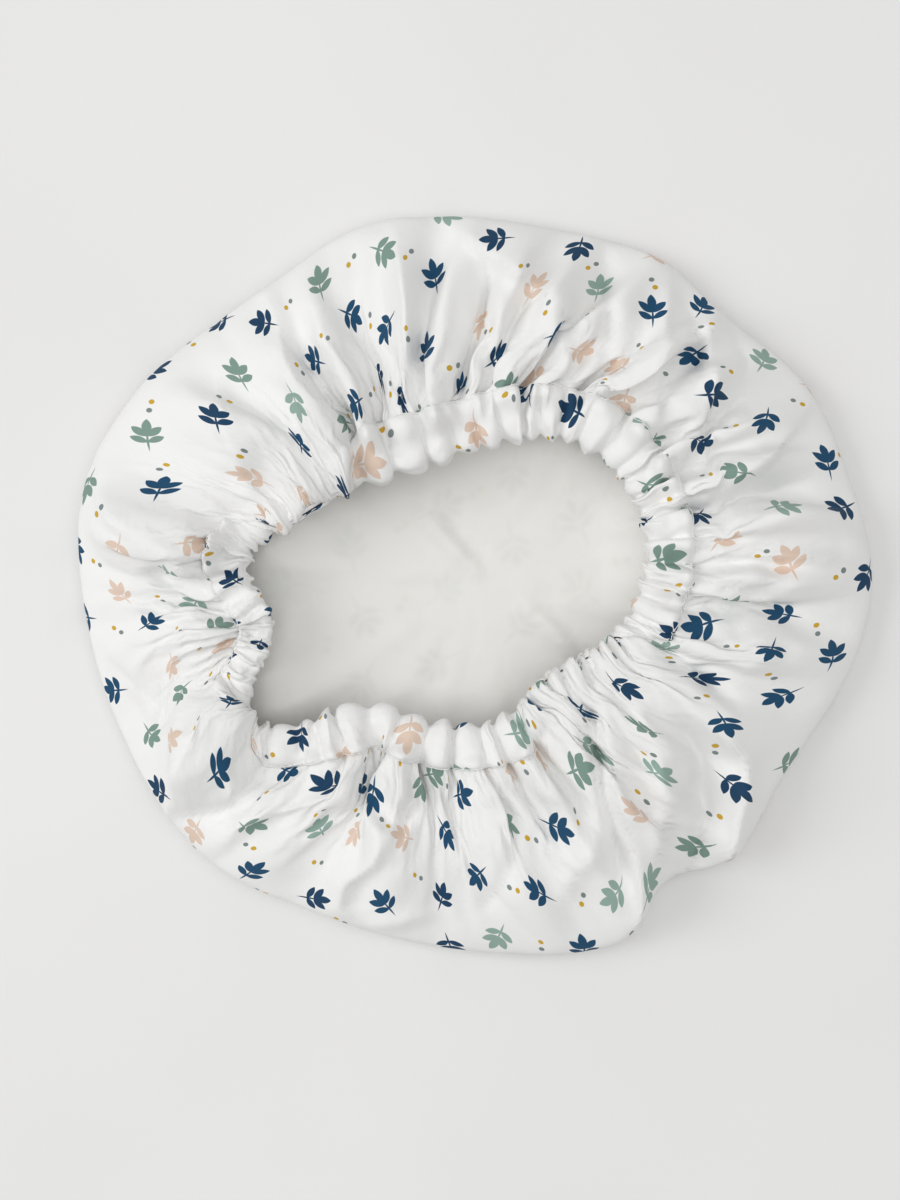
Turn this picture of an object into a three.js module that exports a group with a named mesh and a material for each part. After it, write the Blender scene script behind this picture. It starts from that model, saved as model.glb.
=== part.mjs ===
import * as THREE from 'three';

// Hair bonnet lying on its crown, with the gathered opening up.
// Two round cloths, a printed crown and a silk lining, share one gathered hem.
// A folded strip binds that hem and carries the flat elastic that draws the opening in.
// Millimetres, +Z up, origin on the table under the middle of the bonnet.

// The bonnet as it lies
const BONNET_WIDTH = 380;
const BONNET_DEPTH = 355;
const RIM_BELLY = 9; // height of the outline above the table
const RIM_HEIGHT = 22; // top of the rolled outer edge
const RIM_ROLL = 6; // from the outline in to the top of the roll
const FLOOR_INSET = 22; // from the outline in to the cloth that lies flat

// The opening, along the middle of the elastic
const OPENING_WIDTH = 202;
const OPENING_DEPTH = 149;
const OPENING_SHIFT_X = -15;
const OPENING_SHIFT_Y = 1;
const CASING_HEIGHT = 35; // middle of the elastic above the table
const CASING_TILT = 4; // the tightly gathered side stands this much higher

// Cloths, elastic and thread
const CROWN_CLOTH = 0.8;
const LINING_CLOTH = 0.6;
const CASING_CLOTH = 0.7;
const ELASTIC_WIDTH = 8;
const ELASTIC_THICKNESS = 1;
const ELASTIC_LAP = 20;
const THREAD = 0.5;
const GAP = 0.3; // clearance between neighbouring layers
const THREAD_STANDOFF = 0.6; // from the cloth to a thread that lies along its puckers

// Sewing
const JOIN_ZIGZAGS = 6; // strokes of thread across the lap of the elastic
const JOIN_MARGIN = 4; // from the ends of the lap to the first and last stroke
const JOIN_EDGE = 1.3; // from the edges of the elastic to the turns of the thread
const SEAM_PLACE = 0.1; // place of the casing seam, from the edge of the strip to its shoulder

// The bound hem and its gathers
const HEM_CLEARANCE = 2.5; // from the elastic to the hem of the two cloths
const CASING_OVERLAP = 3; // how far the strip reaches over the hem
const GATHER_RISE = 0.8; // pucker of the hem under the stitching
const PUFF_TOP = 6.5; // how far a gather of the casing stands above the elastic
const PUFF_BOTTOM = 4.5;
const PUFF_MOUTH = 4.5; // how far a gather leans into the opening
const PINCH_MOUTH = 0.6; // the same where the strip is pinched between two gathers

// Folds of the crown cloth
const TOP_PUFF = 8; // fullness of the cloth between rim and casing
const FOLD_RISE = 12; // rise of the highest fold
const VALLEY_SHARE = 0.45; // depth of a valley against the rise of its ridge

// Fineness of the faces
const STEPS_PER_FOLD = 4;
const STEPS_PER_ZIGZAG = 5;
const THREAD_SIDES = 5;
const CURVE_STEPS = 40; // points of a plan curve between two of its stations
const WELD = 1e-4; // points closer than this are one

// Finishes
const PRINTED_COTTON = { color: 0xf2f1ee, roughness: 0.75 };
const LINING_SILK = { color: 0xe8e7e4, roughness: 0.4 };
const ELASTIC_WEBBING = { color: 0xf5f5f2, roughness: 0.85 };
const SEWING_THREAD = { color: 0xfafaf8, roughness: 0.6 };

// Outer edge in plan: bearing in degrees and reach against the mean
const OUTLINE = [
  [0, 1.05], [30, 1.02], [45, 0.96], [60, 0.98], [75, 0.95], [105, 0.985],
  [122, 0.95], [150, 1.03], [167, 1.075], [195, 1.045], [225, 1.03], [245, 0.97],
  [270, 0.98], [293, 1.025], [301, 0.93], [312, 0.995], [328, 0.96], [345, 1.01],
];

// Elastic in plan: bearing in degrees and reach against the mean
const OPENING = [
  [0, 1.19], [14, 1.25], [40, 1.21], [60, 1.02], [82, 0.8], [108, 0.73],
  [135, 0.81], [158, 0.98], [172, 1.18], [188, 1], [200, 1.09], [215, 1.37],
  [227, 1.1], [246, 0.78], [268, 0.82], [298, 0.87], [316, 0.84], [332, 0.96], [342, 1.08],
];

// Main folds: bearing of the ridge in degrees, share of the highest rise, and sideways lean in degrees
const FOLDS = [
  { bearing: 3, rise: 0.75, lean: -2 },
  { bearing: 13, rise: 0.65, lean: 0 },
  { bearing: 24, rise: 0.75, lean: 1 },
  { bearing: 37, rise: 0.65, lean: 0 },
  { bearing: 47, rise: 0.9, lean: 2 },
  { bearing: 61, rise: 0.75, lean: 0 },
  { bearing: 76, rise: 0.65, lean: -1 },
  { bearing: 98, rise: 0.75, lean: 2 },
  { bearing: 118, rise: 0.75, lean: 1 },
  { bearing: 131, rise: 0.6, lean: 0 },
  { bearing: 148, rise: 0.65, lean: 0 },
  { bearing: 171, rise: 1, lean: 4 },
  { bearing: 192, rise: 0.5, lean: 0 },
  { bearing: 213, rise: 0.9, lean: -3 },
  { bearing: 235, rise: 0.75, lean: 0 },
  { bearing: 256, rise: 0.75, lean: 2 },
  { bearing: 282, rise: 0.5, lean: 0 },
  { bearing: 296, rise: 0.65, lean: 0 },
  { bearing: 308, rise: 1, lean: 2 },
  { bearing: 321, rise: 0.85, lean: 1 },
  { bearing: 335, rise: 0.75, lean: 0 },
  { bearing: 349, rise: 0.75, lean: 0 },
];

// Rings of the top cloth, as a share of the way from rim to hem, with the share of the fold there
const TOP_RINGS = [
  { share: 0, fold: 0.15 },
  { share: 0.3, fold: 0.75 },
  { share: 0.72, fold: 1 },
];

const { degToRad, euclideanModulo, lerp } = THREE.MathUtils;
const UP = new THREE.Vector3(0, 0, 1);
const LAYERS = CROWN_CLOTH + GAP + LINING_CLOTH;
const LAP_PITCH = ELASTIC_THICKNESS + GAP;

// A smooth closed curve through the stations, as a function of the bearing
function reachCurve(stations) {
  const points = stations.map(([bearing, reach]) => {
    const angle = degToRad(bearing);
    return new THREE.Vector3(reach * Math.cos(angle), reach * Math.sin(angle), 0);
  });
  const curve = new THREE.CatmullRomCurve3(points, true, 'centripetal');
  const dense = curve.getPoints(stations.length * CURVE_STEPS).slice(0, -1);
  const bearings = dense.map((p) => euclideanModulo(Math.atan2(p.y, p.x), 2 * Math.PI));
  return (angle) => {
    const wanted = euclideanModulo(angle, 2 * Math.PI);
    let best = 0;
    let gap = Infinity;
    bearings.forEach((bearing, index) => {
      const away = Math.abs(euclideanModulo(bearing - wanted + Math.PI, 2 * Math.PI) - Math.PI);
      if (away < gap) {
        gap = away;
        best = index;
      }
    });
    const reach = Math.hypot(dense[best].x, dense[best].y);
    return new THREE.Vector3(reach * Math.cos(wanted), reach * Math.sin(wanted), 0);
  };
}

// Scales plan points to a stated width and depth about a stated middle
function fitPlan(points, width, depth, middleX, middleY) {
  const box = new THREE.Box3().setFromPoints(points);
  const size = box.getSize(new THREE.Vector3());
  const middle = box.getCenter(new THREE.Vector3());
  return points.map((p) => new THREE.Vector3(
    middleX + ((p.x - middle.x) * width) / size.x,
    middleY + ((p.y - middle.y) * depth) / size.y,
    0,
  ));
}

// Four stations for each fold: ridge, flank, valley, flank
const stations = FOLDS.flatMap((fold, index) => {
  const next = FOLDS[(index + 1) % FOLDS.length];
  const span = euclideanModulo(next.bearing - fold.bearing, 360);
  return Array.from({ length: STEPS_PER_FOLD }, (_, step) => {
    const share = step / STEPS_PER_FOLD;
    const wave = Math.cos(2 * Math.PI * share);
    const rise = FOLD_RISE * lerp(fold.rise, next.rise, share);
    return {
      bearing: degToRad(fold.bearing + span * share),
      rise: rise * (wave > 0 ? wave : wave * VALLEY_SHARE),
      lean: degToRad(lerp(fold.lean, next.lean, share) * Math.max(wave, 0)),
      crest: step % 2 === 0,
    };
  });
});
const COUNT = stations.length;
const around = (list, index) => list[euclideanModulo(index, list.length)];

const outlineReach = reachCurve(OUTLINE);
const outline = fitPlan(
  stations.map((s) => outlineReach(s.bearing)),
  BONNET_WIDTH, BONNET_DEPTH, 0, 0,
);

const openingReach = reachCurve(OPENING);
const loop = fitPlan(
  stations.map((s) => openingReach(s.bearing)),
  OPENING_WIDTH, OPENING_DEPTH, OPENING_SHIFT_X, OPENING_SHIFT_Y,
);
loop.forEach((p, index) => {
  p.z = CASING_HEIGHT + CASING_TILT * Math.cos(stations[index].bearing);
});

// Plan direction into the opening at each station of the elastic
const inward = loop.map((_, index) => {
  const along = around(loop, index + 1).clone().sub(around(loop, index - 1)).setZ(0);
  return along.normalize().applyAxisAngle(UP, Math.PI / 2);
});

// A point beside the elastic: a step into the opening and a step up
function besideElastic(index, into, up) {
  return loop[index].clone().addScaledVector(inward[index], into).addScaledVector(UP, up);
}

// Outer face of the crown cloth at one station, from the table over the rim to the hem
const hemReach = -(ELASTIC_WIDTH / 2 + HEM_CLEARANCE);
const bindReach = hemReach - CASING_OVERLAP;

function crownSection(index) {
  const { bearing, rise, lean, crest } = stations[index];
  const edge = outline[index];
  const toOpening = loop[index].clone().sub(edge).setZ(0).normalize();
  const sideways = new THREE.Vector3(-Math.sin(bearing), Math.cos(bearing), 0);
  const pucker = LAYERS / 2 + (crest ? GATHER_RISE : -GATHER_RISE);
  const bind = besideElastic(index, bindReach, pucker);
  const hem = besideElastic(index, hemReach, pucker);
  const rimTop = edge.clone().addScaledVector(toOpening, RIM_ROLL).setZ(RIM_HEIGHT);
  const floor = edge.clone().addScaledVector(toOpening, FLOOR_INSET);
  const belly = edge.clone().setZ(RIM_BELLY);
  const top = TOP_RINGS.map(({ share, fold }) => {
    const point = rimTop.clone().lerp(bind, share);
    const swing = lean * fold * Math.hypot(point.x, point.y);
    point.addScaledVector(sideways, swing);
    point.z += TOP_PUFF * Math.sin(Math.PI * share) + rise * fold;
    return point;
  });
  return [new THREE.Vector3(), floor, belly, ...top, bind, hem];
}

const crownFace = stations.map((_, index) => crownSection(index));

// Outward direction of the crown cloth at each point of its face
const crownNormals = crownFace.map((section, index) => section.map((point, ring) => {
  if (ring === 0) return new THREE.Vector3(0, 0, -1);
  const along = around(crownFace, index + 1)[ring].clone().sub(around(crownFace, index - 1)[ring]);
  const last = section[Math.min(ring + 1, section.length - 1)];
  const across = last.clone().sub(section[ring - 1]);
  return along.cross(across).normalize();
}));

// A point under the outer face of the crown cloth, or over it where the depth is negative
function underCrown(index, ring, depth) {
  return crownFace[index][ring].clone().addScaledVector(crownNormals[index][ring], -depth);
}

// Joins closed sections into one solid: a ring, or a run with two capped ends.
// The second half of a section is split along the mirrored diagonal,
// so that the two faces of a folded cloth are cut alike.
function loft(sections, isRing) {
  const width = sections[0].length;
  const runs = isRing ? sections.length : sections.length - 1;
  const triangles = [];
  const add = (a, b, c) => {
    if (Math.min(a.distanceTo(b), b.distanceTo(c), c.distanceTo(a)) > WELD) triangles.push(a, b, c);
  };
  for (let run = 0; run < runs; run += 1) {
    const here = sections[run];
    const there = around(sections, run + 1);
    for (let side = 0; side < width; side += 1) {
      const other = (side + 1) % width;
      if (side < width / 2) {
        add(here[side], there[side], there[other]);
        add(here[side], there[other], here[other]);
      } else {
        add(here[side], there[side], here[other]);
        add(there[side], there[other], here[other]);
      }
    }
  }
  if (!isRing) {
    const first = sections[0];
    const final = sections[sections.length - 1];
    for (let side = 1; side < width - 1; side += 1) {
      add(first[0], first[side], first[side + 1]);
      add(final[0], final[side + 1], final[side]);
    }
  }
  let volume = 0;
  for (let i = 0; i < triangles.length; i += 3) {
    volume += triangles[i].dot(triangles[i + 1].clone().cross(triangles[i + 2]));
  }
  if (volume < 0) triangles.reverse();
  const geometry = new THREE.BufferGeometry().setFromPoints(triangles);
  geometry.computeVertexNormals();
  return geometry;
}

// One cloth of the crown: everything between two depths under the crown's outer face
function crownCloth(outerDepth, innerDepth) {
  const sections = crownFace.map((section, index) => {
    const outer = section.map((_, ring) => underCrown(index, ring, outerDepth));
    const inner = section.map((_, ring) => underCrown(index, ring, innerDepth));
    return [...outer, ...inner.reverse()];
  });
  return loft(sections, true);
}

// The strip that binds the hem: over the hem, round the elastic and back under the hem
const lapReach = 1 + (2 * ELASTIC_LAP) / loopLength();
const channel = (LAP_PITCH * lapReach + ELASTIC_THICKNESS) / 2 + GAP + THREAD + GAP;
const bindRing = crownFace[0].length - 2;

function loopLength() {
  return loop.reduce((sum, p, index) => sum + p.distanceTo(around(loop, index + 1)), 0);
}

function casingFace(index, inset) {
  const { crest } = stations[index];
  const half = ELASTIC_WIDTH / 2;
  const wall = CASING_CLOTH - inset;
  const top = (crest ? Math.max(PUFF_TOP, channel) : channel) + wall;
  const bottom = (crest ? Math.max(PUFF_BOTTOM, channel) : channel) + wall;
  const mouth = half + (crest ? Math.max(PUFF_MOUTH, PINCH_MOUTH) : PINCH_MOUTH) + wall;
  return [
    underCrown(index, bindRing, -(GAP + wall)),
    besideElastic(index, -half, top),
    besideElastic(index, half, top),
    besideElastic(index, mouth, 0),
    besideElastic(index, half, -bottom),
    besideElastic(index, -half, -bottom),
    underCrown(index, bindRing, LAYERS + GAP + wall),
  ];
}

function elasticCasing() {
  const sections = stations.map((_, index) => {
    const outer = casingFace(index, 0);
    const inner = casingFace(index, CASING_CLOTH);
    return [...outer, ...inner.reverse()];
  });
  return loft(sections, true);
}

// A place on the elastic by the length walked along its middle line
function elasticPlace(walked) {
  let left = walked;
  let index = 0;
  while (left > loop[index % COUNT].distanceTo(around(loop, index + 1))) {
    left -= loop[index % COUNT].distanceTo(around(loop, index + 1));
    index += 1;
  }
  const here = index % COUNT;
  const next = (index + 1) % COUNT;
  const share = left / loop[here].distanceTo(loop[next]);
  const point = loop[here].clone().lerp(loop[next], share);
  point.z += LAP_PITCH * (walked / loopLength() - 0.5);
  return { point, across: inward[here].clone().lerp(inward[next], share) };
}

// The flat elastic: once round with a slow climb, so that its end lies on its start
function elasticBand() {
  const walks = [0];
  for (let index = 0; index < COUNT; index += 1) {
    walks.push(walks[index] + loop[index].distanceTo(around(loop, index + 1)));
  }
  const once = walks[COUNT];
  const lapEnd = once + ELASTIC_LAP;
  const lapped = walks.slice(1).map((walk) => once + walk).filter((walk) => walk < lapEnd - GAP);
  const sections = [...walks, ...lapped, lapEnd].map((walk) => {
    const { point, across } = elasticPlace(walk);
    return [[-1, -1], [1, -1], [1, 1], [-1, 1]].map(([side, level]) => point.clone()
      .addScaledVector(across, (side * ELASTIC_WIDTH) / 2)
      .addScaledVector(UP, (level * ELASTIC_THICKNESS) / 2));
  });
  return loft(sections, false);
}

// Zigzag of thread across the lap, on the upper end of the elastic
function elasticJoin() {
  const points = Array.from({ length: JOIN_ZIGZAGS + 1 }, (_, index) => {
    const intoLap = lerp(JOIN_MARGIN, ELASTIC_LAP - JOIN_MARGIN, index / JOIN_ZIGZAGS);
    const { point, across } = elasticPlace(loopLength() + intoLap);
    const side = index % 2 ? 1 : -1;
    return point.addScaledVector(across, side * (ELASTIC_WIDTH / 2 - JOIN_EDGE))
      .addScaledVector(UP, ELASTIC_THICKNESS / 2 + GAP + THREAD / 2);
  });
  return new THREE.ExtrudeGeometry(new THREE.Shape().absarc(0, 0, THREAD / 2, 0, 2 * Math.PI), {
    extrudePath: new THREE.CatmullRomCurve3(points, false, 'centripetal'),
    steps: JOIN_ZIGZAGS * STEPS_PER_ZIGZAG,
    curveSegments: THREAD_SIDES,
  });
}

// Thread of the seam that closes the casing, on the face between two points of its section
function seamThread(from, to) {
  const centres = stations.map((_, index) => {
    const face = casingFace(index, 0);
    return face[from].clone().lerp(face[to], SEAM_PLACE);
  });
  const sections = centres.map((centre, index) => {
    const face = casingFace(index, 0);
    const along = around(centres, index + 1).clone().sub(around(centres, index - 1)).normalize();
    const across = face[to].clone().sub(face[from]).normalize();
    const away = along.clone().cross(across).normalize();
    if (away.z * (from === 0 ? 1 : -1) < 0) away.negate();
    const side = away.clone().cross(along).normalize();
    const middle = centre.clone().addScaledVector(away, THREAD / 2 + THREAD_STANDOFF);
    return Array.from({ length: THREAD_SIDES }, (_, corner) => {
      const angle = (2 * Math.PI * corner) / THREAD_SIDES;
      return middle.clone()
        .addScaledVector(side, (THREAD / 2) * Math.cos(angle))
        .addScaledVector(away, (THREAD / 2) * Math.sin(angle));
    });
  });
  return loft(sections, true);
}

const bonnet = new THREE.Group();

function addPiece(name, geometry, finish) {
  const piece = new THREE.Mesh(geometry, new THREE.MeshStandardMaterial({ ...finish, metalness: 0 }));
  piece.name = name;
  bonnet.add(piece);
}

const lastPoint = casingFace(0, 0).length - 1;
addPiece('outer_crown', crownCloth(0, CROWN_CLOTH), PRINTED_COTTON);
addPiece('crown_lining', crownCloth(CROWN_CLOTH + GAP, LAYERS), LINING_SILK);
addPiece('elastic_casing', elasticCasing(), PRINTED_COTTON);
addPiece('elastic_band', elasticBand(), ELASTIC_WEBBING);
addPiece('elastic_join_thread', elasticJoin(), SEWING_THREAD);
addPiece('casing_needle_thread', seamThread(0, 1), SEWING_THREAD);
addPiece('casing_bobbin_thread', seamThread(lastPoint, lastPoint - 1), SEWING_THREAD);

export default bonnet;
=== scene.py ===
import math
import bpy
import numpy as np
from mathutils import Matrix, Vector
from mathutils.bvhtree import BVHTree


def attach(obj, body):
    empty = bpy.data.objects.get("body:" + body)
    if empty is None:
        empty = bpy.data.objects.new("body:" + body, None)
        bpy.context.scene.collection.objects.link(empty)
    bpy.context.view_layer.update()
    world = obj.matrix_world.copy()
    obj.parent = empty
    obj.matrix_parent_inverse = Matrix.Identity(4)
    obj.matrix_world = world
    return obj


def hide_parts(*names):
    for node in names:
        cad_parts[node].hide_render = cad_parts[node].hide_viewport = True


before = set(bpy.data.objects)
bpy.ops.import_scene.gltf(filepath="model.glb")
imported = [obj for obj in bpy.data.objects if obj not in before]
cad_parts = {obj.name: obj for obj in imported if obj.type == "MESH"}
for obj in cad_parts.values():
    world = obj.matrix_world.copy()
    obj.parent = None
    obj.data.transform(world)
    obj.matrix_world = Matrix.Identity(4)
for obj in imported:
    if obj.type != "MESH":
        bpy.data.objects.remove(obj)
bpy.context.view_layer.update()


# Table, camera and light
# The bonnet lies opening up on a plain pale table, and is seen from straight above. A wide soft
# window stands to the left, a skylight hangs overhead, and the bright room fills the shadows.
IMAGE_SIZE = (900, 1200)
BONNET_PIXEL = (476, 584)  # where the middle of the bonnet is in the image
METRES_PER_PIXEL = 0.00047  # at the height of the rim
CAMERA_HEIGHT = 0.95
RIM_LEVEL = 0.022
TABLE_DROP = 0.0004  # keeps the table clear of the cloth that lies on it
TABLE_SIZE = 40
ROOM_COLOUR = (1.0, 0.995, 0.985, 1)
ROOM_LIGHT = 0.49  # strength of the light from all round

scene = bpy.context.scene
scene.view_settings.view_transform = "Standard"

camera_data = bpy.data.cameras.new("camera")
camera = bpy.data.objects.new("camera", camera_data)
scene.collection.objects.link(camera)
scene.camera = camera
camera.location = (
    (IMAGE_SIZE[0] / 2 - BONNET_PIXEL[0]) * METRES_PER_PIXEL,
    (BONNET_PIXEL[1] - IMAGE_SIZE[1] / 2) * METRES_PER_PIXEL,
    CAMERA_HEIGHT,
)
half_height = IMAGE_SIZE[1] / 2 * METRES_PER_PIXEL
camera_data.lens = camera_data.sensor_width / 2 * (CAMERA_HEIGHT - RIM_LEVEL) / half_height


class Wire:
    """A value on its way through a material: each sum adds a Math node."""

    def __init__(self, finish, socket):
        self.finish = finish
        self.socket = socket

    def math(self, operation, *others):
        values = dict(enumerate((self, *others)))
        return self.finish.node("Math", {"operation": operation}, values)

    def __add__(self, other):
        return self.math("ADD", other)

    def __sub__(self, other):
        return self.math("SUBTRACT", other)

    def __mul__(self, other):
        return self.math("MULTIPLY", other)

    def __truediv__(self, other):
        return self.math("DIVIDE", other)

    def __rsub__(self, other):
        return self.finish.node("Math", {"operation": "SUBTRACT"}, {0: other, 1: self})

    __radd__ = __add__
    __rmul__ = __mul__

    def other(self, name):
        """Another output of the node that this value comes from."""
        return Wire(self.finish, self.socket.node.outputs[name])


class Finish:
    """A material and the nodes that it is put together from."""

    def __init__(self, name, **settings):
        self.material = bpy.data.materials.new(name)
        self.material.use_nodes = True
        self.tree = self.material.node_tree
        self.surface = self.tree.nodes["Principled BSDF"]
        self.feed(self.surface, settings)

    def feed(self, node, values):
        for name, value in values.items():
            socket = input_socket(node, name)
            if isinstance(value, Wire):
                self.tree.links.new(value.socket, socket)
            else:
                socket.default_value = value

    def node(self, kind, settings, values):
        """Adds a node: its settings come first, then the values or links of its sockets."""
        node = self.tree.nodes.new("ShaderNode" + kind)
        for name, value in settings.items():
            if name == "stops":
                lay_stops(node.color_ramp, value)
            elif name == "steps":
                node.color_ramp.interpolation = "CONSTANT"
            else:
                setattr(node, name, value)
        self.feed(node, values)
        shown = [output for output in node.outputs if output.enabled]
        return Wire(self, shown[0])

    def show(self, **values):
        self.feed(self.surface, values)


def input_socket(node, name):
    """An input of a node, by its number or by its name in small letters."""
    if isinstance(name, int):
        return node.inputs[name]
    label = name.replace("_", " ")
    return next(socket for socket in node.inputs if socket.name.lower() == label)


def lay_stops(ramp, stops):
    while len(ramp.elements) < len(stops):
        ramp.elements.new(1.0)
    for element, (place, colour) in zip(ramp.elements, stops):
        element.position = place
        element.color = (*colour, 1.0)


def linear(red, green, blue):
    """A colour as it is seen on a screen, 0 to 255, in the linear values of a material."""
    shares = [value / 255 for value in (red, green, blue)]
    return tuple(s / 12.92 if s <= 0.04045 else ((s + 0.055) / 1.055) ** 2.4 for s in shares)


bpy.ops.object.select_all(action="DESELECT")
bpy.ops.mesh.primitive_plane_add(size=TABLE_SIZE, location=(0, 0, -TABLE_DROP))
table = bpy.context.object
table.name = "table"
painted = Finish("painted_table", roughness=0.7)
table_place = painted.node("TexCoord", {}, {}).other("Object")
cloudy = painted.node("TexNoise", {}, {"vector": table_place, "scale": 3.0, "detail": 3.0})
painted.show(base_color=painted.node(
    "ValToRGB",
    {"stops": [(0.3, linear(240, 240, 240)), (0.7, linear(234, 234, 233))]},
    {"fac": cloudy},
))
table.data.materials.append(painted.material)

world = bpy.data.worlds.new("bright_room")
world.use_nodes = True
room = world.node_tree.nodes["Background"]
room.inputs["Color"].default_value = ROOM_COLOUR
room.inputs["Strength"].default_value = ROOM_LIGHT
scene.world = world


def soft_window(name, place, size, power):
    data = bpy.data.lights.new(name, "AREA")
    data.size = size
    data.energy = power
    lamp = bpy.data.objects.new(name, data)
    scene.collection.objects.link(lamp)
    lamp.location = place
    lamp.rotation_euler = (-Vector(place)).to_track_quat("-Z", "Y").to_euler()


soft_window("left_window", place=(-2.2, 0.3, 1.9), size=1.6, power=28.0)
soft_window("skylight", place=(0.3, 0.0, 2.4), size=2.0, power=17.0)


# Outer crown
# A round of fine white cotton with a small scattered print, cut 58 cm across. It lies on its
# middle, rolls up at the rim and is gathered into the casing, which folds it all round.
CUT_RADIUS = 0.292
COTTON = 0.0004  # thickness
CLOTH_RINGS = 52  # rows of the grid from the middle of the cloth to its hem
FLOOR_INSET = 0.022  # from the outline in to the cloth that lies flat
RIM_ROLL = 0.006  # from the outline in to the top of the roll
RIM_BELLY = 3  # step of the way over the rim at which it is widest
TOP_PUFF = 0.009  # fullness of the cloth between rim and casing
TOP_STEPS = 11
WRAP_STEPS = 5
HEM_REACH = (0.0065, 0.0050)  # from the middle of the elastic to the hem, level and rolled over
WRAP_RADIUS = 0.0105  # from the middle of the elastic to the crown that lies over a rolled casing
WRAP_START = 0.36  # share of the roll at which the crown meets the casing
LIP_WAVE = 0.0040  # soft waves of the crown where it hangs over the casing
TURN = 2 * math.pi


def mesh_values(items, name):
    values = np.empty(len(items) * 3)
    items.foreach_get(name, values)
    return values.reshape(-1, 3)


def node_points(name):
    return mesh_values(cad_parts[name].data.vertices, "co")


def harmonics(bearing, order):
    columns = [np.ones_like(bearing)]
    for count in range(1, order + 1):
        columns += [np.cos(count * bearing), np.sin(count * bearing)]
    return np.stack(columns, -1)


LOOP_ORDER = 12
LOOP_TILT_ORDER = 2
band_points = node_points("elastic_band")
hub = (band_points.min(0) + band_points.max(0))[:2] / 2
band_bearings = np.arctan2(band_points[:, 1] - hub[1], band_points[:, 0] - hub[0])
band_reach = np.hypot(band_points[:, 0] - hub[0], band_points[:, 1] - hub[1])
loop_reach = np.linalg.lstsq(harmonics(band_bearings, LOOP_ORDER), band_reach, rcond=None)[0]
loop_height = np.linalg.lstsq(
    harmonics(band_bearings, LOOP_TILT_ORDER), band_points[:, 2], rcond=None
)[0]


def elastic_line(bearing):
    """Points on the middle line of the elastic, by the bearing from the middle of the opening."""
    reach = harmonics(bearing, LOOP_ORDER) @ loop_reach
    return np.stack([
        hub[0] + reach * np.cos(bearing),
        hub[1] + reach * np.sin(bearing),
        harmonics(bearing, LOOP_TILT_ORDER) @ loop_height,
    ], -1)


def elastic_inward(bearing):
    """Plan direction into the opening, square to the elastic."""
    step = 1e-3
    along = (elastic_line(bearing + step) - elastic_line(bearing - step))[:, :2]
    along /= np.linalg.norm(along, axis=1, keepdims=True)
    return np.stack([-along[:, 1], along[:, 0]], -1)


# How far the casing has rolled over about the elastic, so that the crown hides some of it:
# bearings from the middle of the opening, and angles, all in degrees
CASING_ROLL = [
    (127, 0), (134, 165), (159, 165), (167, 0), (206, 0), (211, 165), (217, 165), (222, 0),
    (297, 0), (303, 165), (340, 165), (347, 0),
]


def casing_roll(bearing):
    bearings, angles = zip(*CASING_ROLL)
    return np.radians(np.interp(np.degrees(np.mod(bearing, TURN)), bearings, angles))


SAME_LEVEL = 1e-5
crown_points = node_points("outer_crown")
belly_height = crown_points[np.abs(crown_points[:, 0]).argmax(), 2]
belly = crown_points[np.abs(crown_points[:, 2] - belly_height) < SAME_LEVEL]
belly_bearing = np.arctan2(belly[:, 1], belly[:, 0])
belly_order = np.argsort(belly_bearing)


def outline_reach(bearing):
    """How far the rim lies from the middle of the bonnet."""
    reach = np.hypot(belly[belly_order, 0], belly[belly_order, 1])
    return np.interp(bearing, belly_bearing[belly_order], reach, period=TURN)


# Main folds: bearing of the ridge in degrees, share of the full rise, and sideways lean
FOLDS = [
    (2, 0.8, -0.5), (11, 0.8, 0.2), (20.5, 0.7, 0.3), (28, 0.7, 0.4), (37.5, 0.7, 0.3),
    (46.5, 1.2, 0.6), (60.5, 0.9, 0.4), (72, 0.7, 0), (80, 0.6, -0.2), (92, 0.8, 0.3),
    (99, 0.7, 0.4), (119, 0.9, 0.4), (130, 0.6, 0), (147, 0.8, -0.3), (171, 1.1, 1.0),
    (192, 0.5, 0), (213, 1.1, -0.6), (235, 0.8, 0.3), (255, 0.9, 0.5), (283, 0.6, 0),
    (294.5, 0.6, 0.3), (305, 0.5, 0.5), (313.5, 0.4, 0.5), (322, 0.4, 0.4),
    (333, 0.5, 0.3), (349, 0.8, -0.3),
]
FOLD_RISE = 0.012
GATHERS = 60
GATHER_SEED = 7
HEM_WAVE = 0.0028  # rise of a gather at the hem
FOLD_SHARPNESS = 1.5
FOLD_SPAN = 1.6  # from valley to crest, to the rise
FOLD_VALLEY = 0.5  # depth of a valley, to the rise
FOLD_SWING = 0.9  # how far a fold leans over, to its height
GATHER_SHARPNESS = 0.8
GATHER_SWING = 0.6
GATHER_SLANT = 0.7
GATHER_WIDTH_SPREAD = (0.6, 1.45)
GATHER_SIZE_SPREAD = (0.65, 1.25)
LEAST_ROLL = 0.02  # share of a half turn from which the crown counts as a lip
# How much of its height a main fold has, by the share of the way from the rim to the hem
FOLD_SHARES = [(0, 0.1), (0.12, 0.6), (0.3, 1), (0.78, 1), (0.94, 0.6), (1, 0.3)]
# How much of its height a gather has, by the way from the hem
GATHER_SHARES = [(0, 1), (0.008, 1.8), (0.022, 1.6), (0.045, 0.55), (0.07, 0)]
# How much of the gathers is lost where the casing is rolled over, by the bearing in degrees
LIP_CALM = [(230, 0.7), (280, 0.15)]
# How wide the gathers are round the opening, by the bearing in degrees
GATHER_WIDTHS = [
    (0, 0.8), (30, 0.9), (60, 1.2), (125, 1.25), (165, 0.9), (181, 0.5), (196, 0.8), (215, 1.2),
    (275, 1.15), (300, 0.75), (340, 0.75), (360, 0.8),
]


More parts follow.
